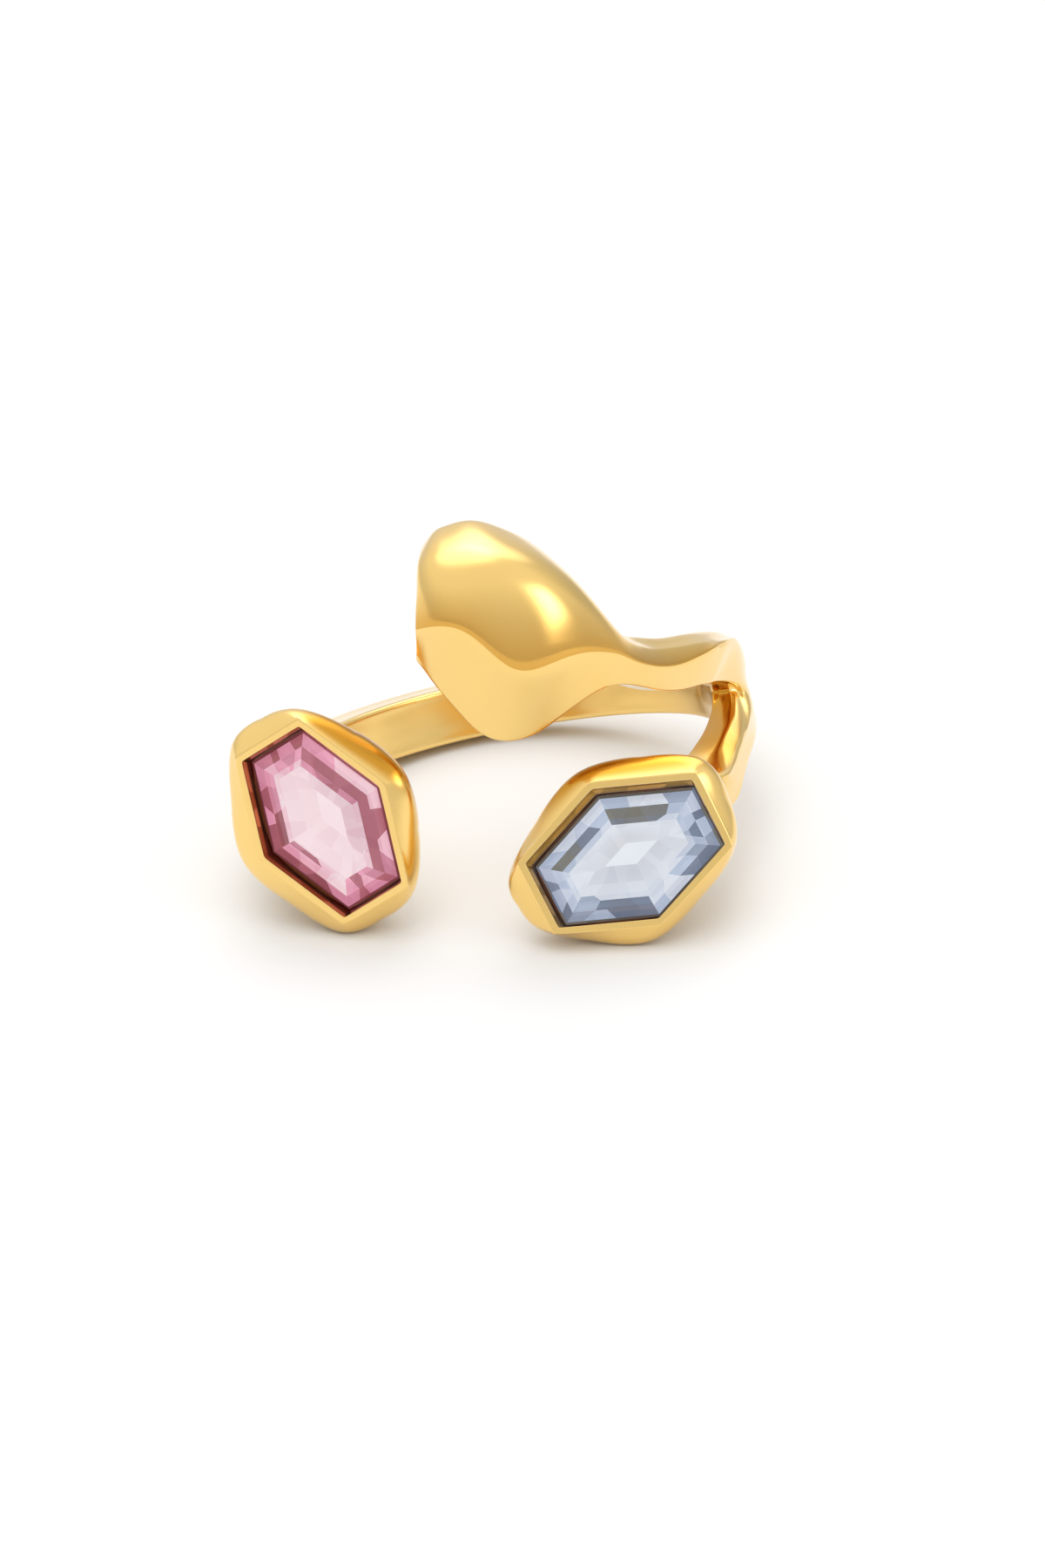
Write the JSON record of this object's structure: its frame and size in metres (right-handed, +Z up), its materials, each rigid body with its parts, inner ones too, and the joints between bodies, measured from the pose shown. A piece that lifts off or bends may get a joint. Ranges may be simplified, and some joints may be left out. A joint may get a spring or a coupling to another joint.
{
  "type": "crystal ring",
  "caption": "Open forked finger ring in polished gold tone with a pink and a blue hexagonal crystal and a plain metal nugget.",
  "frame": {"origin": "centre of the bounding box on the surface that the ring lies on", "axes": "+Z up from that surface; the open front with the crystals and the nugget faces -Y; the finger's axis leans 16.7 degrees from +Z, back and a little to the left"},
  "size_m": [0.0228, 0.0234, 0.0173],
  "materials": {
    "gold": "mirror-polished yellow gold plating",
    "pink_crystal": "clear pink cut crystal, polished",
    "blue_crystal": "clear pale blue cut crystal, polished"
  },
  "bodies": {
    "root": {"ring_body": "gold", "pink_crystal": "pink_crystal", "blue_crystal": "blue_crystal"}
  },
  "joints": []
}
